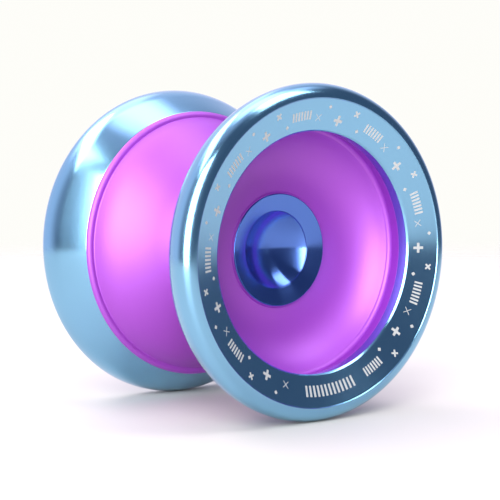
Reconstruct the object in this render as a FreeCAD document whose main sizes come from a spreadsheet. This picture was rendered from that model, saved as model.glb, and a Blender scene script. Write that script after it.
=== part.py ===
import FreeCAD, Part
import math
import os

import Sketcher

# A two-handed "unresponsive" yo-yo: two aluminium halves, each with a rim ring and a hub cap,
# joined by an M4 axle that carries a shielded ball bearing for the string.
# The yo-yo's own axis is Y, the origin is the middle of the axle and of the string gap,
# and +Z is up. Lengths are in millimetres.

DIMENSIONS = [
    # whole yo-yo
    ("rim_radius", 28.0, "largest radius, on the rim ring"),
    ("rim_station", 20.4, "distance from the mid plane to the largest radius"),
    ("rim_gap_round", 6.0, "radius of the rim's rounding towards the gap"),
    ("rim_face_round", 2.5, "radius of the rim's rounding towards the outer face"),
    ("rim_edge_break", 0.14, "bevel between the rim's rounding and the ring's face"),
    # rim ring
    ("seam_radius", 24.0, "radius of the joint line between ring and half on the gap side"),
    ("seam_station", 13.0, "station of that joint line, which is also the ring's shoulder"),
    ("ring_bore", 22.4, "radius of the press fit between ring and half"),
    ("ring_foot", 18.3, "station of the ring's lip that sits on the cup's wall"),
    ("ring_lip_foot", 20.45, "inner radius of the ring's lip where it meets the cup"),
    ("ring_lip_top", 20.1, "inner radius of the ring at its outer face"),
    ("ring_face_drop", 2.0, "how far the ring's face sinks from rim to lip"),
    ("ring_lip_bevel", 0.3, "bevel on the ring's inner edge"),
    # half: gap side
    ("post_radius", 3.155, "post that the bearing's inner race slides onto"),
    ("post_end", 0.15, "station of the post's end face"),
    ("post_bevel", 0.2, "bevel on the post's edge and on the hole's mouth"),
    ("seat_radius", 4.0, "land that the inner race rests on"),
    ("recess_radius", 6.65, "recess around the bearing's outer race"),
    ("recess_depth", 0.25, "depth of the recess behind the land"),
    ("gap_face", 2.2, "station of the flat faces beside the string"),
    ("pad_inner", 7.05, "inner radius of the response pad"),
    ("pad_outer", 9.6, "outer radius of the response pad"),
    ("pad_depth", 1.0, "depth of the response pad's recess"),
    ("pad_set_back", 0.06, "how far the pad lies below the flat faces"),
    ("pad_bevel", 0.12, "bevel on the pad's edges"),
    ("gap_edge", 10.2, "outer radius of the flat beside the pad"),
    ("throat_radius", 12.0, "end of the short cone where the catch zone starts"),
    ("throat_station", 3.5, "station of that end"),
    ("catch_radius", 20.0, "end of the long stretch of the catch wall"),
    ("catch_station", 8.85, "station of that end"),
    ("catch_round", 36.0, "radius of the long stretch"),
    ("catch_end_radius", 22.7, "end of the catch wall, in the corner behind the lip"),
    ("catch_end_station", 12.15, "station of that corner"),
    ("catch_end_round", 12.0, "radius of the catch wall's last, steeper stretch"),
    ("lip_radius", 23.04, "inner side of the rounded lip beside the seam"),
    ("lip_station", 12.33, "station of the lip there"),
    ("lip_corner_round", 0.35, "radius of the corner behind the lip"),
    ("lip_round", 0.9, "radius of the lip"),
    # half: outer side
    ("cup_wall_radius", 21.05, "lower end of the cup's undercut wall"),
    ("cup_wall_station", 16.2, "station of that end"),
    ("cup_corner_round", 0.9, "radius of the corner between the cup's wall and its floor"),
    ("cup_edge_radius", 20.5, "outer end of the cup's floor"),
    ("cup_edge_station", 15.05, "station of that end"),
    ("cup_round", 10.3, "radius of the cup between its edge and its flat floor"),
    ("cup_floor_radius", 12.1, "outer radius of the cup's flat floor"),
    ("cup_floor_station", 10.3, "station of the cup's flat floor"),
    ("collar_station", 10.64, "station of the collar's flat top"),
    ("collar_width", 0.3, "width of the raised collar around the hub cap"),
    ("collar_flat", 0.12, "width of the collar's flat top"),
    ("cap_radius", 9.64, "radius of the hub cap and of its pocket"),
    ("cap_floor", 6.6, "station of the pocket's floor"),
    # hub cap
    ("cap_top", 10.79, "station of the cap's outer edge"),
    ("cap_crease_radius", 6.66, "crease between the cap's cone and its dish"),
    ("cap_crease_station", 9.9, "station of the outer cone at the crease"),
    ("cap_crease_step", 0.16, "step down to the inner dish"),
    ("cap_dish_round", 10.2, "round of the inner dish"),
    ("cap_apex", 7.25, "station of the dish's middle"),
    ("cap_bevel", 0.12, "bevel on the cap's outer edge"),
    ("cap_bevel_back", 0.3, "bevel on the cap's back edge"),
    # axle
    ("axle_radius", 2.0, "outside radius of the M4 axle's thread"),
    ("axle_length", 12.0, "length of the axle"),
    ("axle_bevel", 0.4, "bevel on the axle's ends"),
    ("axle_clearance", 0.02, "radial clearance in the rear half's threaded hole"),
    ("axle_socket", 2.0, "width across flats of the hex socket in the rear end"),
    ("axle_socket_depth", 2.0, "depth of the hex socket"),
    # ball bearing, 6.35 x 12.7 x 4.763
    ("bearing_bore", 3.175, "bore radius"),
    ("bearing_outside", 6.35, "outside radius"),
    ("bearing_width", 4.763, "width"),
    ("bearing_bevel", 0.15, "bevel on the races' edges"),
    ("inner_land", 4.25, "outside radius of the inner race"),
    ("outer_land", 5.3, "inside radius of the outer race"),
    ("pitch_radius", 4.7625, "pitch circle of the balls"),
    ("ball_radius", 0.79375, "radius of a ball"),
    ("ball_count", 10, "number of balls"),
    ("groove_radius", 0.80875, "radius of the races' ball grooves"),
    ("cage_inner", 4.42, "inner radius of the crown cage"),
    ("cage_outer", 5.08, "outer radius of the crown cage"),
    ("cage_back", 1.15, "distance from the balls' plane to the cage's solid side"),
    ("cage_front", 0.42, "distance from the balls' plane to the tips of the crown"),
    ("cage_pocket", 0.85, "radius of a cage pocket"),
    ("shield_inner", 4.4, "inner radius of a shield"),
    ("shield_outer", 5.6, "outer radius of a shield"),
    ("shield_station", 1.5, "distance from the balls' plane to the shield's inner face"),
    ("shield_thickness", 0.18, "thickness of a shield"),
    ("shield_seat", 5.62, "bore of the outer race outside the shield"),
    ("snap_radius", 0.19, "radius of the snap ring's wire"),
    ("snap_near", 1.69, "near side of the snap ring's groove"),
    ("snap_far", 2.09, "far side of the snap ring's groove"),
    ("snap_groove", 5.83, "radius of the bottom of the snap ring's groove"),
    ("snap_sweep", 334.0, "how far round the snap ring reaches, in degrees"),
]

DIRECTORY = "parts"
FULL_TURN = 360.0
NEAR_AXIS = -2  # Sketcher's number for a sketch's vertical axis
ORIGIN = (-1, 1)  # Sketcher's number for a sketch's origin point

doc = FreeCAD.newDocument("YoYo")
sheet = doc.addObject("Spreadsheet::Sheet", "Dimensions")
for row, (alias, value, meaning) in enumerate(DIMENSIONS, start=1):
    sheet.set(f"A{row}", alias)
    sheet.set(f"B{row}", str(value))
    sheet.set(f"C{row}", meaning)
    sheet.setAlias(f"B{row}", alias)
doc.recompute()

ALIASES = sorted((row[0] for row in DIMENSIONS), key=len, reverse=True)
NODES = []


def formula(text):
    """A formula in the sheet's aliases, as FreeCAD writes it."""
    words = []
    word = ""
    for letter in text + " ":
        if letter.isalnum() or letter == "_":
            word += letter
            continue
        words.append(f"<<Dimensions>>.{word}" if word in ALIASES else word)
        words.append(letter)
        word = ""
    return "".join(words).strip()


def value_of(text):
    """The present value of such a formula."""
    return float(sheet.evalExpression(formula(text)))


def plane_of(body, role):
    """One of a body's own origin planes or axes."""
    return next(o for o in body.Origin.OriginFeatures if o.Role == role)


def new_body(label):
    body = doc.addObject("PartDesign::Body", label)
    body.Label = label
    NODES.append(body)
    return body


def new_sketch(body, name, role="XY_Plane"):
    sketch = body.newObject("Sketcher::SketchObject", name)
    sketch.AttachmentSupport = [(plane_of(body, role), "")]
    sketch.MapMode = "FlatFace"
    return sketch


def arc_between(start, end, radius, bulge):
    """A circle's arc of that radius from start to end; bulge is +1 or -1, the side of its centre."""
    mid = (start + end) * 0.5
    chord = end - start
    half = chord.Length / 2
    across = FreeCAD.Vector(-chord.y, chord.x, 0) / chord.Length
    centre = mid + across * bulge * math.sqrt(radius**2 - half**2)
    first = math.atan2(start.y - centre.y, start.x - centre.x)
    last = math.atan2(end.y - centre.y, end.x - centre.x)
    circle = Part.Circle(centre, FreeCAD.Vector(0, 0, 1), radius)
    if bulge > 0:
        return Part.ArcOfCircle(circle, first, last), False
    return Part.ArcOfCircle(circle, last, first), True


def draw_outline(sketch, outline):
    """A closed outline in (distance from the axis, station).

    Each entry is (distance, station) or (distance, station, round radius, bulge), all formulas but
    the last: the round stretch runs from this point to the next.
    """
    points = [FreeCAD.Vector(value_of(p[0]), value_of(p[1]), 0) for p in outline]
    starts = []
    ends = []
    for i, entry in enumerate(outline):
        start, end = points[i], points[(i + 1) % len(points)]
        if len(entry) == 2:
            edge = sketch.addGeometry(Part.LineSegment(start, end), False)
            starts.append((edge, 1))
            ends.append((edge, 2))
            continue
        arc, backwards = arc_between(start, end, value_of(entry[2]), entry[3])
        edge = sketch.addGeometry(arc, False)
        starts.append((edge, 2 if backwards else 1))
        ends.append((edge, 1 if backwards else 2))
    for i in range(len(outline)):
        sketch.addConstraint(Sketcher.Constraint("Coincident", *ends[i - 1], *starts[i]))
    for i, entry in enumerate(outline):
        if entry[0] == "0":
            sketch.addConstraint(Sketcher.Constraint("PointOnObject", *starts[i], NEAR_AXIS))
        else:
            bind(sketch, "DistanceX", entry[0], *ORIGIN, *starts[i])
        bind(sketch, "DistanceY", entry[1], *ORIGIN, *starts[i])
        if len(entry) == 4:
            bind(sketch, "Radius", entry[2], starts[i][0])


def bind(sketch, kind, text, *where):
    """A dimension in a sketch whose value is a formula."""
    index = sketch.addConstraint(Sketcher.Constraint(kind, *where, value_of(text)))
    sketch.setExpression(f"Constraints[{index}]", formula(text))
    return index


def turned(label, outline):
    """A body turned about Y from an outline."""
    body = new_body(label)
    sketch = new_sketch(body, f"{label}_outline")
    draw_outline(sketch, outline)
    turning = body.newObject("PartDesign::Revolution", f"{label}_turning")
    turning.Profile = sketch
    turning.ReferenceAxis = (sketch, ["V_Axis"])
    turning.Angle = FULL_TURN
    body.Tip = turning
    return body


def face_about(body):
    """Turn a piece that is modelled on the +Y side to the -Y side."""
    body.Placement = FreeCAD.Placement(FreeCAD.Vector(), FreeCAD.Rotation(FreeCAD.Vector(0, 0, 1), 180))


# formulas used more than once
SEAT = "bearing_width / 2"
# The rim's rounding starts where a straight line from the seam touches its circle.
RUN = "(rim_station - seam_station)"
RISE = "(seam_radius - rim_radius + rim_gap_round)"
SPAN = f"({RUN}^2 + {RISE}^2)"
REACH = f"sqrt({SPAN} - rim_gap_round^2)"
OUTWARD = f"(rim_gap_round * {RUN} - {REACH} * {RISE})"
ALONG = f"({REACH} * {RUN} + rim_gap_round * {RISE})"
TANGENT_RADIUS = f"seam_radius + {REACH} * {OUTWARD} / {SPAN}"
TANGENT_STATION = f"seam_station + {REACH} * {ALONG} / {SPAN}"
DISH_EDGE = "cap_crease_radius - cap_crease_step / 2"
CREST_RADIUS = "rim_radius - rim_face_round"
CREST_STATION = "rim_station + rim_face_round"
LEFT = 1
RIGHT = -1
HEXAGON = 6


def make_half(side, hole):
    """One aluminium half, turned in one piece: post, gap face, catch wall, ring seat and cup."""
    outline = [
        (hole, "post_end + post_bevel"),
        (f"{hole} + post_bevel", "post_end"),
        ("post_radius - post_bevel", "post_end"),
        ("post_radius", "post_end + post_bevel"),
        ("post_radius", SEAT),
        ("seat_radius", SEAT),
        ("seat_radius", f"{SEAT} + recess_depth"),
        ("recess_radius", f"{SEAT} + recess_depth"),
        ("recess_radius", "gap_face"),
        ("pad_inner", "gap_face"),
        ("pad_inner", "gap_face + pad_depth"),
        ("pad_outer", "gap_face + pad_depth"),
        ("pad_outer", "gap_face"),
        ("gap_edge", "gap_face"),
        ("throat_radius", "throat_station", "catch_round", LEFT),
        ("catch_radius", "catch_station", "catch_end_round", LEFT),
        ("catch_end_radius", "catch_end_station", "lip_corner_round", RIGHT),
        ("lip_radius", "lip_station", "lip_round", LEFT),
        ("seam_radius", "seam_station"),
        ("ring_bore", "seam_station"),
        ("ring_bore", "ring_foot"),
        ("ring_lip_foot", "ring_foot"),
        ("cup_wall_radius", "cup_wall_station", "cup_corner_round", RIGHT),
        ("cup_edge_radius", "cup_edge_station", "cup_round", RIGHT),
        ("cup_floor_radius", "cup_floor_station"),
        ("cap_radius + collar_width", "cup_floor_station"),
        ("cap_radius + collar_flat", "collar_station"),
        ("cap_radius", "collar_station"),
        ("cap_radius", "cap_floor"),
        (hole, "cap_floor"),
    ]
    return turned(f"{side}_half", outline)


def make_rim_ring(side):
    """The polished ring: a press fit on the half, with a sunken conical face."""
    outline = [
        ("ring_bore", "seam_station"),
        ("seam_radius", "seam_station"),
        (TANGENT_RADIUS, TANGENT_STATION, "rim_gap_round", LEFT),
        ("rim_radius", "rim_station", "rim_face_round", LEFT),
        (CREST_RADIUS, CREST_STATION),
        (f"{CREST_RADIUS} - rim_edge_break / 2", f"{CREST_STATION} - rim_edge_break"),
        ("ring_lip_top + ring_lip_bevel", f"{CREST_STATION} - ring_face_drop"),
        ("ring_lip_top", f"{CREST_STATION} - ring_face_drop - ring_lip_bevel"),
        ("ring_lip_foot", "ring_foot"),
        ("ring_bore", "ring_foot"),
    ]
    return turned(f"{side}_rim_ring", outline)


def make_hub_cap(side):
    """The polished cap pressed into the cup's middle: a shallow cone around a dish."""
    outline = [
        ("0", "cap_floor"),
        ("cap_radius - cap_bevel_back", "cap_floor"),
        ("cap_radius", "cap_floor + cap_bevel_back"),
        ("cap_radius", "cap_top - cap_bevel"),
        ("cap_radius - cap_bevel", "cap_top"),
        ("cap_crease_radius", "cap_crease_station"),
        (DISH_EDGE, "cap_crease_station - cap_crease_step", "cap_dish_round", RIGHT),
        ("0", "cap_apex"),
    ]
    return turned(f"{side}_hub_cap", outline)


def make_response_pad(side):
    """The silicone ring that grips the string on the return, glued into its recess."""
    face = "gap_face + pad_set_back"
    outline = [
        ("pad_inner + pad_bevel", face),
        ("pad_outer - pad_bevel", face),
        ("pad_outer", f"{face} + pad_bevel"),
        ("pad_outer", "gap_face + pad_depth"),
        ("pad_inner", "gap_face + pad_depth"),
        ("pad_inner", f"{face} + pad_bevel"),
    ]
    return turned(f"{side}_response_pad", outline)


def make_axle():
    """The grub screw that joins the halves, modelled from its own front end."""
    outline = [
        ("0", "0.0"),
        ("axle_radius - axle_bevel", "0.0"),
        ("axle_radius", "axle_bevel"),
        ("axle_radius", "axle_length - axle_bevel"),
        ("axle_radius - axle_bevel", "axle_length"),
        ("0", "axle_length"),
    ]
    body = turned("axle", outline)
    solid_volume = settled(body).Volume
    socket = body.newObject("PartDesign::SubtractivePrism", "axle_socket_cut")
    socket.Polygon = HEXAGON
    socket.setExpression("Circumradius", formula("axle_socket / sqrt(3)"))
    socket.setExpression("Height", formula("axle_socket_depth"))
    socket.Placement.Rotation = FreeCAD.Rotation(FreeCAD.Vector(1, 0, 0), -90)
    socket.setExpression("Placement.Base.y", formula("axle_length - axle_socket_depth"))
    body.Tip = socket
    body.setExpression("Placement.Base.y", formula("-axle_length / 2"))
    require(settled(body).Volume < solid_volume, "the axle's socket cuts nothing")
    return body


def set_bearing_place(body):
    """A bearing piece is modelled from the bearing's front face, and the bearing is centred."""
    body.setExpression("Placement.Base.y", formula("-bearing_width / 2"))


def groove_half_width(land):
    return f"sqrt(groove_radius^2 - (pitch_radius - {land})^2)"


def make_inner_race():
    half = groove_half_width("inner_land")
    outline = [
        ("bearing_bore + bearing_bevel", "0.0"),
        ("inner_land - bearing_bevel", "0.0"),
        ("inner_land", "bearing_bevel"),
        ("inner_land", f"{SEAT} - {half}", "groove_radius", RIGHT),
        ("inner_land", f"{SEAT} + {half}"),
        ("inner_land", "bearing_width - bearing_bevel"),
        ("inner_land - bearing_bevel", "bearing_width"),
        ("bearing_bore + bearing_bevel", "bearing_width"),
        ("bearing_bore", "bearing_width - bearing_bevel"),
        ("bearing_bore", "bearing_bevel"),
    ]
    body = turned("bearing_inner_race", outline)
    set_bearing_place(body)
    return body


def make_outer_race():
    half = groove_half_width("outer_land")
    far_side = [
        ("shield_seat", "bearing_width"),
        ("shield_seat", f"{SEAT} + snap_far"),
        ("snap_groove", f"{SEAT} + snap_far"),
        ("snap_groove", f"{SEAT} + snap_near"),
        ("shield_seat", f"{SEAT} + snap_near"),
        ("shield_seat", f"{SEAT} + shield_station"),
        ("outer_land", f"{SEAT} + shield_station"),
    ]
    near_side = [
        ("outer_land", f"{SEAT} - shield_station"),
        ("shield_seat", f"{SEAT} - shield_station"),
        ("shield_seat", f"{SEAT} - snap_near"),
        ("snap_groove", f"{SEAT} - snap_near"),
        ("snap_groove", f"{SEAT} - snap_far"),
        ("shield_seat", f"{SEAT} - snap_far"),
        ("shield_seat", "0.0"),
    ]
    outline = [
        ("bearing_outside - bearing_bevel", "0.0"),
        ("bearing_outside", "bearing_bevel"),
        ("bearing_outside", "bearing_width - bearing_bevel"),
        ("bearing_outside - bearing_bevel", "bearing_width"),
        *far_side,
        ("outer_land", f"{SEAT} + {half}", "groove_radius", RIGHT),
        ("outer_land", f"{SEAT} - {half}"),
        *near_side,
    ]
    body = turned("bearing_outer_race", outline)
    set_bearing_place(body)
    return body


def make_cage():
    """A crown cage: a ring with one open pocket for each ball."""
    outline = [
        ("cage_inner", f"{SEAT} - cage_back"),
        ("cage_outer", f"{SEAT} - cage_back"),
        ("cage_outer", f"{SEAT} + cage_front"),
        ("cage_inner", f"{SEAT} + cage_front"),
    ]
    body = turned("bearing_cage", outline)
    ring_volume = settled(body).Volume
    pocket = body.newObject("PartDesign::SubtractiveSphere", "cage_pocket_cut")
    pocket.setExpression("Radius", formula("cage_pocket"))
    pocket.setExpression("Placement.Base.x", formula("pitch_radius"))
    pocket.setExpression("Placement.Base.y", formula(SEAT))
    doc.recompute()
    pockets = body.newObject("PartDesign::PolarPattern", "cage_pockets")
    pockets.Originals = [pocket]
    pockets.Axis = (plane_of(body, "Y_Axis"), [""])
    pockets.Angle = FULL_TURN
    pockets.setExpression("Occurrences", formula("ball_count"))
    body.Tip = pockets
    set_bearing_place(body)
    ball_volume = 4 / 3 * math.pi * value_of("ball_radius") ** 3
    cut = ring_volume - settled(body).Volume
    require(cut > value_of("ball_count") * ball_volume / 2, "the cage's pockets are missing")
    return body


def make_ball(number):
    ball = doc.addObject("Part::Sphere", f"ball_{number:02d}")
    ball.Label = f"ball_{number:02d}"
    ball.setExpression("Radius", formula("ball_radius"))
    angle = f"({number - 1} * 360 / ball_count)"
    ball.setExpression("Placement.Base.x", formula(f"pitch_radius * cos({angle})"))
    ball.setExpression("Placement.Base.z", formula(f"pitch_radius * sin({angle})"))
    NODES.append(ball)
    return ball


def make_shield(side):
    """A thin washer that closes one side of the bearing; it clears the inner race."""
    outline = [
        ("shield_inner", "shield_station"),
        ("shield_outer", "shield_station"),
        ("shield_outer", "shield_station + shield_thickness"),
        ("shield_inner", "shield_station + shield_thickness"),
    ]
    return turned(f"{side}_bearing_shield", outline)


def make_snap_ring(side):
    """The open wire ring that holds a shield in the outer race."""
    body = new_body(f"{side}_snap_ring")
    sketch = new_sketch(body, f"{side}_snap_ring_outline")
    centre = FreeCAD.Vector(value_of("shield_seat"), value_of("(snap_near + snap_far) / 2"), 0)
    circle = Part.Circle(centre, FreeCAD.Vector(0, 0, 1), value_of("snap_radius"))
    wire = sketch.addGeometry(circle, False)
    bind(sketch, "Radius", "snap_radius", wire)
    bind(sketch, "DistanceX", "shield_seat", *ORIGIN, wire, 3)
    bind(sketch, "DistanceY", "(snap_near + snap_far) / 2", *ORIGIN, wire, 3)
    sweep = body.newObject("PartDesign::Revolution", f"{side}_snap_ring_sweep")
    sweep.Profile = sketch
    sweep.ReferenceAxis = (sketch, ["V_Axis"])
    sweep.setExpression("Angle", formula("snap_sweep"))
    body.Tip = sweep
    return body


def settled(body):
    """A body's shape after a recompute."""
    doc.recompute()
    return body.Shape


def require(truth, problem):
    if not truth:
        raise RuntimeError(problem)


for side in ("rear", "front"):
    hole = "axle_radius + axle_clearance" if side == "rear" else "axle_radius"
    pieces = [
        make_half(side, hole),
        make_rim_ring(side),
        make_hub_cap(side),
        make_response_pad(side),
        make_shield(side),
        make_snap_ring(side),
    ]
    if side == "front":
        for piece in pieces:
            face_about(piece)

make_axle()
make_inner_race()
make_outer_race()
make_cage()
for number in range(1, int(value_of("ball_count")) + 1):
    make_ball(number)

doc.recompute()
for item in doc.Objects:
    bad = {"Invalid", "Error"} & set(item.State)
    require(not bad, f"{item.Label} is {', '.join(bad)}")
for node in NODES:
    require(not node.Shape.isNull() and node.Shape.isValid(), f"{node.Label} has no valid shape")
    require(len(node.Shape.Solids) == 1, f"{node.Label} is not one solid")

os.makedirs(DIRECTORY, exist_ok=True)
for node in NODES:
    node.Shape.exportStep(os.path.join(DIRECTORY, f"{node.Label}.step"))
    print(f"{node.Label}: {node.Shape.Volume:.1f} mm3")
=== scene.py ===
import math

import bmesh
import bpy
from mathutils import Matrix, Vector


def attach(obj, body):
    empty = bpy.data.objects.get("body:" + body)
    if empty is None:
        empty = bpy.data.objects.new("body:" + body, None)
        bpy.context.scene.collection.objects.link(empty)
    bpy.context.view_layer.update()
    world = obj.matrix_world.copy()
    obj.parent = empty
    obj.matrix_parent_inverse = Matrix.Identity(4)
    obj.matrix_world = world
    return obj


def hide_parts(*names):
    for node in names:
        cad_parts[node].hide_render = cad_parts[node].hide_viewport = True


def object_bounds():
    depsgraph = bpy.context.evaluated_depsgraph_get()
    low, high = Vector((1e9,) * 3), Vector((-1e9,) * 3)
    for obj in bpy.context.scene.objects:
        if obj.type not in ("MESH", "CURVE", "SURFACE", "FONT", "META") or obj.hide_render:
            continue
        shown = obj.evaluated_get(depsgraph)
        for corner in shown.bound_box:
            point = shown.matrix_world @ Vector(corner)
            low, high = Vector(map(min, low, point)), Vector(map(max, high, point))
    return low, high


# A polished and satin anodised yo-yo. Its axis is Y, +Z is up, and the floor is under its rims.
# Outlines are in millimetres as (distance from the axis, station along it); meshes are in metres.
# A point of an outline that goes on with a radius and a side starts an arc to the next point.

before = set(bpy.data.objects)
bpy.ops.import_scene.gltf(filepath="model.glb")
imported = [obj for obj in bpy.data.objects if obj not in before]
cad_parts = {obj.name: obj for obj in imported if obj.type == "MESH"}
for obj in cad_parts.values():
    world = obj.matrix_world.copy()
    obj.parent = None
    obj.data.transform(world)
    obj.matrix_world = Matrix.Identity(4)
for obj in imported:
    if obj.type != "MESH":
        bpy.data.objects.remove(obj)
CAD_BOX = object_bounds()

MM = 0.001
FRONT, REAR = "front", "rear"
BODY = {FRONT: "front_side", REAR: "rear_side"}
LEFT, RIGHT = 1, -1  # the side of an outline's arc on which its centre lies
AROUND = 288  # segments around a turned piece
ARC_STEP = 5.0  # degrees between points on an outline's arc
EASE_STEPS = 4  # steps around a rounded corner
EASE_SHARE = 0.45  # a rounded corner takes at most this share of the runs beside it
SHARP = math.radians(24)  # edges that turn by more than this stay sharp
ON_AXIS = 1e-6  # a point nearer to the axis than this is on it

# ---------------------------------------------------------------- sizes of the turned pieces
RIM_RADIUS = CAD_BOX[1].z / MM
HALF_WIDTH = CAD_BOX[1].y / MM
FACE_ROUND = 2.5
GAP_ROUND = 6.0
RIM_STATION = HALF_WIDTH - FACE_ROUND
SEAM_RADIUS, SEAM_STATION = 24.0, 13.0
RING_BORE, RING_FOOT = 22.4, 18.3
RING_LIP_FOOT, RING_LIP_TOP, RING_LIP_BEVEL = 20.45, 20.1, 0.3
FACE_DROP = 2.0
EDGE_BREAK = 0.14
CREST = RIM_RADIUS - FACE_ROUND
CAP_RADIUS, CAP_FLOOR, CAP_TOP = 9.64, 6.6, 10.79
CAP_BEVEL, CAP_BEVEL_BACK = 0.12, 0.3
CREASE_RADIUS, CREASE_STATION, CREASE_STEP = 6.66, 9.9, 0.16
CAP_APEX, DISH_ROUND = 7.25, 10.2
BEARING_WIDTH = 4.763
SEAT = BEARING_WIDTH / 2
GAP_FACE, GAP_EDGE = 2.2, 10.2
HOLE_RADIUS = 2.02
POST_RADIUS, POST_END, POST_BEVEL = 3.155, 0.15, 0.2
SEAT_RADIUS, RECESS_RADIUS, RECESS_DEPTH = 4.0, 6.65, 0.25
PAD_INNER, PAD_OUTER, PAD_DEPTH = 7.05, 9.6, 1.0
PAD_SET_BACK, PAD_BEVEL = 0.06, 0.12
THROAT_RADIUS, THROAT_STATION = 12.0, 3.5
CATCH_RADIUS, CATCH_STATION, CATCH_ROUND = 20.0, 8.85, 36.0
CATCH_END_RADIUS, CATCH_END_STATION, CATCH_END_ROUND = 22.7, 12.15, 12.0
LIP_RADIUS, LIP_STATION, LIP_ROUND, LIP_CORNER_ROUND = 23.04, 12.33, 0.9, 0.35
CUP_WALL_RADIUS, CUP_WALL_STATION, CUP_CORNER_ROUND = 21.05, 16.2, 0.9
CUP_EDGE_RADIUS, CUP_EDGE_STATION, CUP_ROUND = 20.5, 15.05, 10.3
CUP_FLOOR_RADIUS, CUP_FLOOR_STATION = 12.1, 10.3
COLLAR_STATION, COLLAR_WIDTH, COLLAR_FLAT = 10.64, 0.3, 0.12
AXLE_RADIUS, AXLE_LENGTH, AXLE_BEVEL = 2.0, 12.0, 0.4
THREAD_PITCH, THREAD_DEPTH = 0.7, 0.4
THREAD_ROOT, THREAD_FLANK = 0.07, 0.34  # half a root and one flank, in shares of the pitch
SOCKET_WIDTH, SOCKET_DEPTH = 2.0, 2.0
THREAD_AROUND, THREAD_STEPS = 72, 14  # faces round the axle, and along one pitch


# ---------------------------------------------------------------- mesh tools
def arc_points(start, end, radius, side):
    """Points on a circle's arc from start towards end, without end."""
    chord = end - start
    across = Vector((-chord.y, chord.x)).normalized() * side
    centre = (start + end) / 2 + across * math.sqrt(radius**2 - (chord.length / 2) ** 2)
    first = start - centre
    turn = first.angle_signed(end - centre)
    steps = max(2, round(abs(math.degrees(turn)) / ARC_STEP))
    return [centre + Matrix.Rotation(-turn * i / steps, 2) @ first for i in range(steps)]


def outline_points(outline, edge):
    """An outline's points, its arcs divided and its sharp corners rounded by about edge."""
    corners = [Vector(entry[:2]) for entry in outline]
    points = []
    for i, entry in enumerate(outline):
        start, end = corners[i], corners[(i + 1) % len(corners)]
        points += arc_points(start, end, *entry[2:]) if len(entry) > 2 else [start]
    return eased(points, edge)


def eased(points, edge):
    """The points with each sharp corner off the axis replaced by a small round."""
    result = []
    for i, here in enumerate(points):
        back, on = points[i - 1] - here, points[(i + 1) % len(points)] - here
        turn = math.pi - back.angle(on)
        if turn < SHARP or here.x < edge:
            result.append(here)
            continue
        reach = min(edge, back.length * EASE_SHARE, on.length * EASE_SHARE)
        first, last = here + back.normalized() * reach, here + on.normalized() * reach
        for step in range(EASE_STEPS + 1):
            t = step / EASE_STEPS
            result.append(first * (1 - t) ** 2 + here * 2 * t * (1 - t) + last * t**2)
    return result


def new_piece(name, mesh, body, material, slot, *nodes):
    """A mesh as a piece on a body, standing for the CAD nodes named."""
    piece = bpy.data.objects.new(name, mesh)
    bpy.context.scene.collection.objects.link(piece)
    mesh.materials.append(material)
    if nodes:
        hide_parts(*nodes)
    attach(piece, body)
    return piece


def smooth_mesh(name, mesh_builder):
    """The mesh made from a builder, smooth but for its sharp edges."""
    bmesh.ops.recalc_face_normals(mesh_builder, faces=mesh_builder.faces)
    mesh = bpy.data.meshes.new(name)
    mesh_builder.to_mesh(mesh)
    mesh_builder.free()
    mesh.polygons.foreach_set("use_smooth", [True] * len(mesh.polygons))
    mesh.set_sharp_from_angle(angle=SHARP)
    return mesh


def lathe(name, outline, side, edge):
    """A mesh turned about Y from an outline; the front side is the rear side turned half round."""
    mirror = -1 if side == FRONT else 1
    angles = [math.tau * turn / AROUND for turn in range(AROUND)]
    mesh_builder = bmesh.new()
    columns = []
    for point in outline_points(outline, edge):
        if point.x < ON_AXIS:
            apex = mesh_builder.verts.new((0, point.y * mirror * MM, 0))
            columns.append([apex] * AROUND)
            continue
        columns.append([
            mesh_builder.verts.new((
                point.x * math.cos(angle) * mirror * MM,
                point.y * mirror * MM,
                point.x * math.sin(angle) * MM,
            ))
            for angle in angles
        ])
    for i, column in enumerate(columns):
        following = columns[(i + 1) % len(columns)]
        if column[0] is column[1] and following[0] is following[1]:
            continue
        for j in range(AROUND):
            k = (j + 1) % AROUND
            corners = [column[j], column[k], following[k], following[j]]
            mesh_builder.faces.new(list(dict.fromkeys(corners)))
    return smooth_mesh(name, mesh_builder)


# ---------------------------------------------------------------- materials
RING_PITCH, CAP_PITCH, STEEL_PITCH = 0.16, 0.12, 0.1  # from one turning line to the next


def tree_of(owner):
    """The nodes and links of a material or of the world."""
    return owner.node_tree.nodes, owner.node_tree.links


def new_material(name, colour, metallic, roughness, **others):
    """A Principled material; others are sockets' names with _ for a space."""
    material = bpy.data.materials.new(name)
    material.use_nodes = True
    shader = material.node_tree.nodes["Principled BSDF"]
    shader.inputs["Base Color"].default_value = (*colour, 1)
    shader.inputs["Metallic"].default_value = metallic
    shader.inputs["Roughness"].default_value = roughness
    for socket, value in others.items():
        shader.inputs[socket.replace("_", " ")].default_value = value
    return material


def place_node(material):
    """The point on the surface, in metres in the row frame."""
    return material.node_tree.nodes.new("ShaderNodeTexCoord").outputs["Object"]


def maths(owner, operation, *values):
    """A Math node fed by sockets or numbers; returns its output."""
    nodes, links = tree_of(owner)
    node = nodes.new("ShaderNodeMath")
    node.operation = operation
    for socket, value in zip(node.inputs, values):
        if isinstance(value, bpy.types.NodeSocket):
            links.new(value, socket)
        else:
            socket.default_value = value
    return node.outputs[0]


def noise(material, place, grain, detail=2.0):
    """Noise whose features are about grain millimetres across; returns 0 to 1."""
    nodes, links = tree_of(material)
    texture = nodes.new("ShaderNodeTexNoise")
    texture.inputs["Scale"].default_value = 1 / (grain * MM)
    texture.inputs["Detail"].default_value = detail
    links.new(place, texture.inputs["Vector"])
    return texture.outputs[0]


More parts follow.
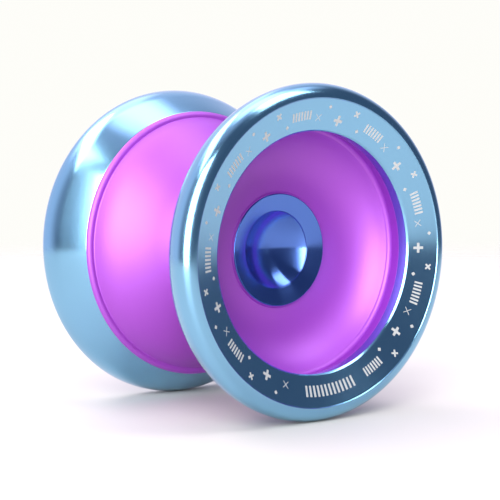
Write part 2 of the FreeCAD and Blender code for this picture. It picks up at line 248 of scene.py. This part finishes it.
def turning_lines(material, pitch):
    """Noise that is the same all round the axis, as a lathe tool leaves it; returns 0 to 1."""
    nodes, links = tree_of(material)
    split = nodes.new("ShaderNodeSeparateXYZ")
    links.new(place_node(material), split.inputs[0])
    x, y, z = split.outputs
    distance = maths(material, "SQRT", maths(material, "ADD", maths(material, "MULTIPLY", x, x),
                                             maths(material, "MULTIPLY", z, z)))
    joined = nodes.new("ShaderNodeCombineXYZ")
    links.new(distance, joined.inputs[0])
    links.new(y, joined.inputs[1])
    return noise(material, joined.outputs[0], pitch, detail=3.0)


def set_roughness(material, source, low, high):
    """Roughness from low to high, as a 0 to 1 source says."""
    nodes, links = tree_of(material)
    spread = nodes.new("ShaderNodeMapRange")
    links.new(source, spread.inputs["Value"])
    spread.inputs["To Min"].default_value = low
    spread.inputs["To Max"].default_value = high
    links.new(spread.outputs[0], nodes["Principled BSDF"].inputs["Roughness"])


def add_bump(material, source, height):
    """Relief of about height millimetres."""
    nodes, links = tree_of(material)
    bump = nodes.new("ShaderNodeBump")
    bump.inputs["Distance"].default_value = height * MM
    bump.inputs["Strength"].default_value = 1.0
    links.new(source, bump.inputs["Height"])
    links.new(bump.outputs[0], nodes["Principled BSDF"].inputs["Normal"])


def set_radial_tangent(material):
    """Turned metal: the highlight spreads across the tool's circular lines."""
    nodes, links = tree_of(material)
    tangent = nodes.new("ShaderNodeTangent")
    tangent.direction_type = "RADIAL"
    tangent.axis = "Y"
    links.new(tangent.outputs[0], nodes["Principled BSDF"].inputs["Tangent"])


def satin_purple():
    """Bead-blasted aluminium, anodised purple."""
    material = new_material("satin_purple", (0.30, 0.025, 0.46), 0.6, 0.55,
                            Specular_IOR_Level=0.3,
                            Coat_Weight=0.7, Coat_Roughness=0.5, Coat_IOR=1.9)
    place = place_node(material)
    set_roughness(material, noise(material, place, 0.9, detail=4.0), 0.52, 0.58)
    add_bump(material, noise(material, place, 0.07), 0.0012)
    return material


def polished_blue():
    """Turned and polished aluminium, anodised blue."""
    material = new_material("polished_blue", (0.22, 0.45, 0.64), 1.0, 0.11,
                            Anisotropic=0.6, Anisotropic_Rotation=0.25,
                            Coat_Weight=0.15, Coat_Roughness=0.1)
    set_radial_tangent(material)
    lines = turning_lines(material, RING_PITCH)
    set_roughness(material, lines, 0.15, 0.21)
    add_bump(material, lines, 0.0002)
    return material


def polished_deep_blue():
    """The hub caps: turned with a finer and deeper line than the rings, anodised deep blue."""
    material = new_material("polished_deep_blue", (0.09, 0.18, 0.53), 1.0, 0.21,
                            Anisotropic=0.9, Anisotropic_Rotation=0.25,
                            Coat_Weight=0.1, Coat_Roughness=0.1)
    set_radial_tangent(material)
    lines = turning_lines(material, CAP_PITCH)
    set_roughness(material, lines, 0.13, 0.21)
    add_bump(material, lines, 0.0003)
    return material


def engraved_mark():
    """Bare metal where the laser has taken the blue away."""
    material = new_material("engraved_mark", (0.42, 0.43, 0.43), 0.35, 0.55)
    add_bump(material, noise(material, place_node(material), 0.05), 0.002)
    return material


def silicone():
    """The response pads."""
    material = new_material("white_silicone", (0.80, 0.80, 0.77), 0.0, 0.55, Subsurface_Weight=0.2,
                            Subsurface_Scale=0.6 * MM)
    add_bump(material, noise(material, place_node(material), 0.15), 0.01)
    return material


def steel(name, colour, low, high):
    """Ground or pressed steel with its turning lines; low and high are its roughness."""
    material = new_material(name, colour, 1.0, low)
    lines = turning_lines(material, STEEL_PITCH)
    set_roughness(material, lines, low, high)
    add_bump(material, lines, 0.0006)
    return material


PURPLE = satin_purple()
BLUE = polished_blue()
DEEP_BLUE = polished_deep_blue()
MARK = engraved_mark()
SILICONE = silicone()
RACE = steel("race_steel", (0.62, 0.62, 0.63), 0.14, 0.24)
BALL = steel("ball_steel", (0.80, 0.80, 0.82), 0.05, 0.07)
CAGE = steel("cage_steel", (0.52, 0.51, 0.48), 0.26, 0.38)
SHIELD = steel("shield_steel", (0.66, 0.66, 0.67), 0.18, 0.30)
AXLE = steel("axle_steel", (0.40, 0.41, 0.43), 0.22, 0.34)


# ---------------------------------------------------------------- turned pieces
def make_rim_ring(side):
    run, rise = RIM_STATION - SEAM_STATION, SEAM_RADIUS - RIM_RADIUS + GAP_ROUND
    reach = math.sqrt(run**2 + rise**2 - GAP_ROUND**2)
    share = reach / (run**2 + rise**2)
    tangent = (SEAM_RADIUS + share * (GAP_ROUND * run - reach * rise),
               SEAM_STATION + share * (reach * run + GAP_ROUND * rise))
    outline = [
        (RING_BORE, SEAM_STATION),
        (SEAM_RADIUS, SEAM_STATION),
        (*tangent, GAP_ROUND, LEFT),
        (RIM_RADIUS, RIM_STATION, FACE_ROUND, LEFT),
        (CREST, HALF_WIDTH),
        (CREST - EDGE_BREAK / 2, HALF_WIDTH - EDGE_BREAK),
        (RING_LIP_TOP + RING_LIP_BEVEL, HALF_WIDTH - FACE_DROP),
        (RING_LIP_TOP, HALF_WIDTH - FACE_DROP - RING_LIP_BEVEL),
        (RING_LIP_FOOT, RING_FOOT),
        (RING_BORE, RING_FOOT),
    ]
    mesh = lathe(f"{side}_ring", outline, side, edge=0.08)
    return new_piece(f"{side}_ring", mesh, BODY[side], BLUE, "polished_blue", f"{side}_rim_ring")


def make_half(side):
    """One purple half, with its bearing post, pad recess, catch wall and cup."""
    outline = [
        (HOLE_RADIUS, POST_END + POST_BEVEL),
        (HOLE_RADIUS + POST_BEVEL, POST_END),
        (POST_RADIUS - POST_BEVEL, POST_END),
        (POST_RADIUS, POST_END + POST_BEVEL),
        (POST_RADIUS, SEAT),
        (SEAT_RADIUS, SEAT),
        (SEAT_RADIUS, SEAT + RECESS_DEPTH),
        (RECESS_RADIUS, SEAT + RECESS_DEPTH),
        (RECESS_RADIUS, GAP_FACE),
        (PAD_INNER, GAP_FACE),
        (PAD_INNER, GAP_FACE + PAD_DEPTH),
        (PAD_OUTER, GAP_FACE + PAD_DEPTH),
        (PAD_OUTER, GAP_FACE),
        (GAP_EDGE, GAP_FACE),
        (THROAT_RADIUS, THROAT_STATION, CATCH_ROUND, LEFT),
        (CATCH_RADIUS, CATCH_STATION, CATCH_END_ROUND, LEFT),
        (CATCH_END_RADIUS, CATCH_END_STATION, LIP_CORNER_ROUND, RIGHT),
        (LIP_RADIUS, LIP_STATION, LIP_ROUND, LEFT),
        (SEAM_RADIUS, SEAM_STATION),
        (RING_BORE, SEAM_STATION),
        (RING_BORE, RING_FOOT),
        (RING_LIP_FOOT, RING_FOOT),
        (CUP_WALL_RADIUS, CUP_WALL_STATION, CUP_CORNER_ROUND, RIGHT),
        (CUP_EDGE_RADIUS, CUP_EDGE_STATION, CUP_ROUND, RIGHT),
        (CUP_FLOOR_RADIUS, CUP_FLOOR_STATION),
        (CAP_RADIUS + COLLAR_WIDTH, CUP_FLOOR_STATION),
        (CAP_RADIUS + COLLAR_FLAT, COLLAR_STATION),
        (CAP_RADIUS, COLLAR_STATION),
        (CAP_RADIUS, CAP_FLOOR),
        (HOLE_RADIUS, CAP_FLOOR),
    ]
    mesh = lathe(f"{side}_shell", outline, side, edge=0.07)
    return new_piece(f"{side}_shell", mesh, BODY[side], PURPLE, "satin_purple", f"{side}_half")


def make_hub_cap(side):
    outline = [
        (0, CAP_FLOOR),
        (CAP_RADIUS - CAP_BEVEL_BACK, CAP_FLOOR),
        (CAP_RADIUS, CAP_FLOOR + CAP_BEVEL_BACK),
        (CAP_RADIUS, CAP_TOP - CAP_BEVEL),
        (CAP_RADIUS - CAP_BEVEL, CAP_TOP),
        (CREASE_RADIUS, CREASE_STATION),
        (CREASE_RADIUS - CREASE_STEP / 2, CREASE_STATION - CREASE_STEP, DISH_ROUND, RIGHT),
        (0, CAP_APEX),
    ]
    mesh = lathe(f"{side}_cap", outline, side, edge=0.06)
    return new_piece(f"{side}_cap", mesh, BODY[side], DEEP_BLUE, "polished_deep_blue", f"{side}_hub_cap")


def thread_radius(station, angle):
    """The axle's surface: flat crests, V flanks and flat roots, cut down by the end bevels."""
    phase = (station / THREAD_PITCH + angle / math.tau) % 1.0
    rise = min(1.0, max(0.0, (abs(phase - 0.5) - THREAD_ROOT) / THREAD_FLANK))
    from_end = min(station, AXLE_LENGTH - station)
    return min(AXLE_RADIUS - THREAD_DEPTH * (1 - rise), AXLE_RADIUS - AXLE_BEVEL + from_end)


def make_axle():
    """The grub screw with its thread; the hex socket is in the rear end."""
    mesh_builder = bmesh.new()
    steps = round(AXLE_LENGTH / THREAD_PITCH * THREAD_STEPS)
    middle = AXLE_LENGTH / 2
    angles = [math.tau * i / THREAD_AROUND for i in range(THREAD_AROUND)]
    loops = []
    for step in range(steps + 1):
        station = AXLE_LENGTH * step / steps
        loops.append([(thread_radius(station, angle), station, angle) for angle in angles])
    # a hexagon with as many points as the thread, down into the socket
    sector = math.tau / 6
    for depth in (0.0, SOCKET_DEPTH):
        loops.append([
            (SOCKET_WIDTH / 2 / math.cos(angle % sector - sector / 2), AXLE_LENGTH - depth, angle)
            for angle in angles
        ])
    columns = []
    for loop in loops:
        columns.append([
            mesh_builder.verts.new((r * math.cos(a) * MM, (y - middle) * MM, r * math.sin(a) * MM))
            for r, y, a in loop
        ])
    for column, following in zip(columns, columns[1:]):
        for i in range(THREAD_AROUND):
            k = (i + 1) % THREAD_AROUND
            mesh_builder.faces.new([column[i], column[k], following[k], following[i]])
    for column in (columns[0], columns[-1]):
        mesh_builder.faces.new(column)
    mesh = smooth_mesh("axle_thread", mesh_builder)
    return new_piece("axle_thread", mesh, BODY[REAR], AXLE, "axle_steel", "axle")


def make_pad(side):
    outline = [
        (PAD_INNER + PAD_BEVEL, GAP_FACE + PAD_SET_BACK),
        (PAD_OUTER - PAD_BEVEL, GAP_FACE + PAD_SET_BACK),
        (PAD_OUTER, GAP_FACE + PAD_SET_BACK + PAD_BEVEL),
        (PAD_OUTER, GAP_FACE + PAD_DEPTH),
        (PAD_INNER, GAP_FACE + PAD_DEPTH),
        (PAD_INNER, GAP_FACE + PAD_SET_BACK + PAD_BEVEL),
    ]
    mesh = lathe(f"{side}_pad", outline, side, edge=0.1)
    return new_piece(f"{side}_pad", mesh, BODY[side], SILICONE, "white_silicone", f"{side}_response_pad")


# ---------------------------------------------------------------- marks on the ring's face
# Thin bars stand for the engraving: they show a little over the face, and reach under it.
MARK_PROUD, MARK_SUNK = 0.012, 0.03
FACE_FOOT, FACE_STATION = RING_LIP_TOP + RING_LIP_BEVEL, HALF_WIDTH - FACE_DROP
FACE_SLOPE = (FACE_DROP - EDGE_BREAK) / (CREST - EDGE_BREAK / 2 - FACE_FOOT)
STROKE_STEP = 0.4  # longest step along a stroke, so that it follows the cone

# Strokes of each mark, as (start, end, width) around its middle, in shares of its size.
SQUARE = [((-0.5, 0), (0.5, 0), 1.0)]
PLUS = [((-0.5, 0), (0.5, 0), 0.26), ((0, -0.5), (0, 0.5), 0.26)]
FINE_PLUS = [((-0.5, 0), (0.5, 0), 0.07), ((0, -0.5), (0, 0.5), 0.07)]
HATCH = [((step / 6 - 0.5, -0.2), (step / 6 - 0.5, 0.2), 0.09) for step in range(7)]
BARS = [((step / 12 - 0.5, -0.09), (step / 12 - 0.5, 0.09), 0.04) for step in range(13)]

# A plain pattern: two groups of marks take turns round the face, and a row of bars stands below.
# Each mark is (strokes, angle round the face, distance from the axis, size, turn), in degrees and mm.
GROUPS = (
    [(PLUS, 0, 22.1, 1.7, 0), (SQUARE, 6, 24.1, 0.5, 45), (FINE_PLUS, 11, 22.3, 1.5, 45)],
    [(HATCH, 0, 22.8, 3.6, 0), (SQUARE, 8, 21.6, 0.5, 45), (PLUS, 12, 24.0, 1.2, 45)],
)
GROUP_STEP = 20  # degrees from one group to the next
GROUP_MIDDLE = 5  # degrees from a group's first mark to about its middle
BARS_ANGLE, BARS_CLEARANCE = 275, 20  # no group's middle is nearer to the bars than this
MARKS = [(BARS, BARS_ANGLE, 22.8, 10.0, 0)]
for count in range(360 // GROUP_STEP):
    first = count * GROUP_STEP
    if abs(first + GROUP_MIDDLE - BARS_ANGLE) >= BARS_CLEARANCE:
        for strokes, offset, distance, size, turn in GROUPS[count % 2]:
            MARKS.append((strokes, first + offset, distance, size, turn))


def mark_stroke(mesh_builder, side, start, end, width, place):
    """A thin bar from start to end that follows the ring's conical face."""
    mirror = -1 if side == FRONT else 1
    along = end - start
    across = Vector((-along.y, along.x)).normalized() * width / 2
    steps = max(1, math.ceil(along.length / STROKE_STEP))
    loops = []
    for step in range(steps + 1):
        middle = start + along * step / steps
        loop = []
        for offset, height in (
            (across, MARK_PROUD), (-across, MARK_PROUD), (-across, -MARK_SUNK), (across, -MARK_SUNK),
        ):
            angle, distance = place(middle + offset)
            station = FACE_STATION + (distance - FACE_FOOT) * FACE_SLOPE + height
            x, z = distance * math.cos(angle), distance * math.sin(angle)
            loop.append(mesh_builder.verts.new((x * MM, station * mirror * MM, z * MM)))
        loops.append(loop)
    for here, following in zip(loops, loops[1:]):
        for i in range(4):
            k = (i + 1) % 4
            mesh_builder.faces.new([here[i], here[k], following[k], following[i]])
    mesh_builder.faces.new(loops[0])
    mesh_builder.faces.new(loops[-1])


def make_marks(side):
    mesh_builder = bmesh.new()
    for strokes, angle, distance, size, turn in MARKS:
        spin = Matrix.Rotation(math.radians(turn), 2)
        middle = math.radians(angle)

        def place(point):
            """A point of the mark, u round the face and v outwards, as (angle, distance)."""
            u, v = spin @ point
            return middle - u / distance, distance + v

        for start, end, width in strokes:
            mark_stroke(mesh_builder, side, Vector(start) * size, Vector(end) * size, width * size, place)
    bmesh.ops.recalc_face_normals(mesh_builder, faces=mesh_builder.faces)
    mesh = bpy.data.meshes.new(f"{side}_ring_marks")
    mesh_builder.to_mesh(mesh)
    mesh_builder.free()
    return new_piece(f"{side}_ring_marks", mesh, BODY[side], MARK, "polished_blue")


for side in (FRONT, REAR):
    make_rim_ring(side)
    make_half(side)
    make_hub_cap(side)
    make_pad(side)
    make_marks(side)


# ---------------------------------------------------------------- camera, floor and light
CAMERA_AZIMUTH = math.radians(-36.93)
CAMERA_ELEVATION = math.radians(3.895)
CAMERA_ROLL = math.radians(-0.16)
CAMERA_PLACE = Vector((-159.3, -214.3, 17.6)) * MM
CAMERA_LENS = 109.44
BACKDROP = (0.99, 0.985, 0.945)
FLOOR_COLOUR = (0.55, 0.53, 0.49)
FLOOR_REACH = 0.7
FLOOR_FADE = (0.2, 0.5)
ROOM_COLOUR = (1.06, 0.96, 1.15)
SHADE_COLOUR = (0.12, 0.15, 0.22)
LAMP_DISTANCE = 1.5
# (azimuth, half width, width of the fading edges, elevations where dark and full, brightness)
ROOM_REGIONS = (
    (110, 90, 30, (58, 78), 3.4),
    (0, 180, 1, (70, 86), 3.0),
    (0, 180, 1, (48, 72), 0.5),
    (180, 48, 50, (-40, -39), 0.86),
    (-178, 26, 26, (28, 44), 2.2),
    (60, 30, 20, (44, 62), 1.5),
    (-132, 15, 55, (-6, 10), 0.36),
)
# (name, azimuth, elevation, width, height, brightness)
LAMPS = (
    ("key", 33, 54, 22, 32, 5.0),
    ("side", -128, 59, 58, 19, 5.0),
    ("front", -50, 6, 34, 80, 12.0),
)


def make_camera():
    camera = bpy.data.objects.new("camera", bpy.data.cameras.new("camera"))
    bpy.context.scene.collection.objects.link(camera)
    camera.data.lens = CAMERA_LENS
    camera.data.sensor_width = 36.0
    camera.data.clip_start = 0.01
    camera.data.clip_end = 20.0
    across, level = math.sin(CAMERA_AZIMUTH), math.cos(CAMERA_AZIMUTH)
    back = Vector((across * math.cos(CAMERA_ELEVATION), -level * math.cos(CAMERA_ELEVATION),
                   math.sin(CAMERA_ELEVATION)))
    right = Vector((level, across, 0))
    up = back.cross(right)
    turned_right = right * math.cos(CAMERA_ROLL) + up * math.sin(CAMERA_ROLL)
    turned_up = up * math.cos(CAMERA_ROLL) - right * math.sin(CAMERA_ROLL)
    camera.matrix_world = Matrix.Translation(CAMERA_PLACE) @ Matrix(
        (turned_right, turned_up, back)).transposed().to_4x4()
    bpy.context.scene.camera = camera


def make_floor():
    """A wide pale floor, which fades into the backdrop."""
    mesh = bpy.data.meshes.new("floor")
    height = CAD_BOX[0].z
    corners = [(-1, -1), (1, -1), (1, 1), (-1, 1)]
    mesh.from_pydata([(x * FLOOR_REACH, y * FLOOR_REACH, height) for x, y in corners], [], [(0, 1, 2, 3)])
    floor = bpy.data.objects.new("floor", mesh)
    bpy.context.scene.collection.objects.link(floor)
    material = new_material("floor", FLOOR_COLOUR, 0.0, 0.5, Specular_IOR_Level=0.2)
    nodes, links = tree_of(material)
    distance = nodes.new("ShaderNodeVectorMath")
    distance.operation = "LENGTH"
    links.new(place_node(material), distance.inputs[0])
    fade = nodes.new("ShaderNodeMapRange")
    fade.interpolation_type = "SMOOTHSTEP"
    fade.inputs["From Min"].default_value, fade.inputs["From Max"].default_value = FLOOR_FADE
    links.new(distance.outputs["Value"], fade.inputs["Value"])
    clear = nodes.new("ShaderNodeBsdfTransparent")
    mix = nodes.new("ShaderNodeMixShader")
    links.new(fade.outputs[0], mix.inputs[0])
    links.new(nodes["Principled BSDF"].outputs[0], mix.inputs[1])
    links.new(clear.outputs[0], mix.inputs[2])
    links.new(mix.outputs[0], nodes["Material Output"].inputs["Surface"])
    mesh.materials.append(material)


def make_softbox(name, azimuth, elevation, width, height, brightness):
    """A soft lamp seen from the yo-yo at those angles, in degrees; brightness 1 is white."""
    data = bpy.data.lights.new(name, "AREA")
    data.shape = "RECTANGLE"
    data.size = 2 * LAMP_DISTANCE * math.tan(math.radians(width / 2))
    data.size_y = 2 * LAMP_DISTANCE * math.tan(math.radians(height / 2))
    data.energy = brightness * math.pi * data.size * data.size_y
    lamp = bpy.data.objects.new(name, data)
    bpy.context.scene.collection.objects.link(lamp)
    turn, rise = math.radians(azimuth), math.radians(elevation)
    direction = Vector((math.sin(turn) * math.cos(rise), -math.cos(turn) * math.cos(rise), math.sin(rise)))
    lamp.location = direction * LAMP_DISTANCE
    lamp.rotation_euler = direction.to_track_quat("Z", "Y").to_euler()


class Room:
    """The world: a cream backdrop for the camera, and for the rest a room with soft bright regions."""

    def __init__(self):
        self.world = bpy.data.worlds.new("room")
        bpy.context.scene.world = self.world
        self.world.use_nodes = True
        self.nodes, self.links = tree_of(self.world)
        self.nodes.clear()
        split = self.nodes.new("ShaderNodeSeparateXYZ")
        self.links.new(self.nodes.new("ShaderNodeTexCoord").outputs["Generated"], split.inputs[0])
        x, y, z = split.outputs
        self.azimuth = self.maths("ARCTAN2", x, self.maths("MULTIPLY", y, -1.0))
        self.elevation = self.maths("ARCSINE", z)
        self.glow = None

    def maths(self, operation, *values):
        return maths(self.world, operation, *values)

    def step(self, source, none, full):
        """0 where the source is at none, 1 where it is at full, in degrees, smooth between."""
        node = self.nodes.new("ShaderNodeMapRange")
        node.interpolation_type = "SMOOTHSTEP"
        self.links.new(source, node.inputs["Value"])
        node.inputs["From Min"].default_value = math.radians(none)
        node.inputs["From Max"].default_value = math.radians(full)
        return node.outputs[0]

    def add_region(self, azimuth, half_width, side, low, brightness):
        """A soft region about an azimuth, up to the zenith.

        side is the width of its fading edges, and low is the elevation where it is (dark, full).
        """
        turned = self.maths("SUBTRACT", self.azimuth, math.radians(azimuth))
        offset = self.maths("WRAP", turned, math.pi, -math.pi)
        across = self.step(self.maths("ABSOLUTE", offset), half_width + side, half_width)
        shape = self.maths("MULTIPLY", across, self.step(self.elevation, *low))
        light = self.maths("MULTIPLY", shape, brightness)
        self.glow = self.maths("MAXIMUM", self.glow, light) if self.glow else light

    def background(self, colour, strength):
        node = self.nodes.new("ShaderNodeBackground")
        node.inputs["Color"].default_value = (*colour, 1)
        if isinstance(strength, bpy.types.NodeSocket):
            self.links.new(strength, node.inputs["Strength"])
        else:
            node.inputs["Strength"].default_value = strength
        return node.outputs[0]

    def finish(self):
        mix = self.nodes.new("ShaderNodeMixShader")
        output = self.nodes.new("ShaderNodeOutputWorld")
        add = self.nodes.new("ShaderNodeAddShader")
        self.links.new(self.background(ROOM_COLOUR, self.glow), add.inputs[0])
        self.links.new(self.background(SHADE_COLOUR, 1.0), add.inputs[1])
        self.links.new(self.nodes.new("ShaderNodeLightPath").outputs["Is Camera Ray"], mix.inputs[0])
        self.links.new(add.outputs[0], mix.inputs[1])
        self.links.new(self.background(BACKDROP, 1.0), mix.inputs[2])
        self.links.new(mix.outputs[0], output.inputs[0])


def make_room():
    """Bright overhead and behind the yo-yo, dark towards the camera."""
    room = Room()
    for region in ROOM_REGIONS:
        room.add_region(*region)
    room.finish()


make_axle()
make_camera()
make_floor()
make_room()
for lamp in LAMPS:
    make_softbox(*lamp)
bpy.context.scene.view_settings.view_transform = "Standard"

BEARING = {
    RACE: ["bearing_inner_race", "bearing_outer_race"],
    CAGE: ["bearing_cage"],
    SHIELD: ["front_bearing_shield", "rear_bearing_shield", "front_snap_ring", "rear_snap_ring"],
    BALL: [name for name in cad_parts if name.startswith("ball_")],
}
for material, nodes in BEARING.items():
    for node in nodes:
        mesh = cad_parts[node].data
        mesh.materials.clear()
        mesh.materials.append(material)
